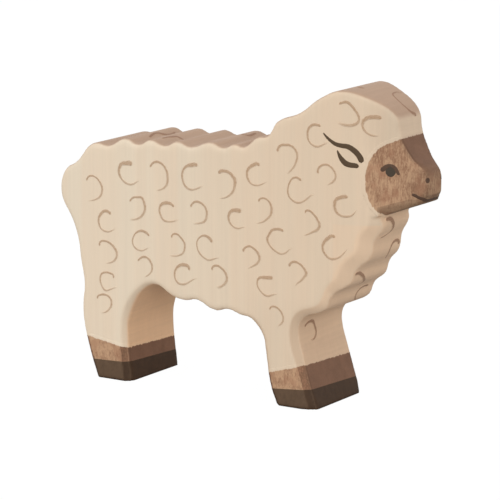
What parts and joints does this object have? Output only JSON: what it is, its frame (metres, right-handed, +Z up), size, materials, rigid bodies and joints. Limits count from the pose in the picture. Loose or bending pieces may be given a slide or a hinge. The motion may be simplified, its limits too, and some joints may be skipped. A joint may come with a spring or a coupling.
{
  "type": "wooden sheep figurine",
  "caption": "Standing sheep sawn from one thick board, with scalloped wool edges, a tapered head, stained face, painted hooves and brushed curls.",
  "frame": {"origin": "on the ground under the middle of the animal: bottom centre of its bounding box", "axes": "+X towards the head, +Y towards the sheep's left side, +Z up"},
  "size_m": [0.1052, 0.0232, 0.0811],
  "materials": {
    "bare_wood": "pale fine-grained maple, sanded smooth and lightly oiled",
    "brown_stain": "translucent warm brown wood stain, brushed on, grain showing through",
    "hoof_paint": "dark grey-brown water-based paint, thin and matte",
    "dark_paint": "dark brown line paint, matte, opaque",
    "curl_paint": "thin light brown brush strokes, dry at their tails"
  },
  "bodies": {
    "root": {"wood_body": "bare_wood", "face_stain": "brown_stain", "front_band_stain": "brown_stain", "rear_band_stain": "brown_stain", "front_hoof_paint": "hoof_paint", "rear_hoof_paint": "hoof_paint", "right_ear_upper_stroke": "dark_paint", "right_ear_lower_stroke": "dark_paint", "right_eye_pupil": "dark_paint", "right_eyelid_line": "dark_paint", "right_nostril": "dark_paint", "left_ear_upper_stroke": "dark_paint", "left_ear_lower_stroke": "dark_paint", "left_eye_pupil": "dark_paint", "left_eyelid_line": "dark_paint", "left_nostril": "dark_paint", "mouth_line": "dark_paint", "right_side_curls": "curl_paint", "left_side_curls": "curl_paint", "back_curls": "curl_paint", "chest_curls": "curl_paint", "front_leg_curl": "curl_paint", "forehead_curl": "curl_paint", "rump_curls": "curl_paint"}
  },
  "joints": []
}
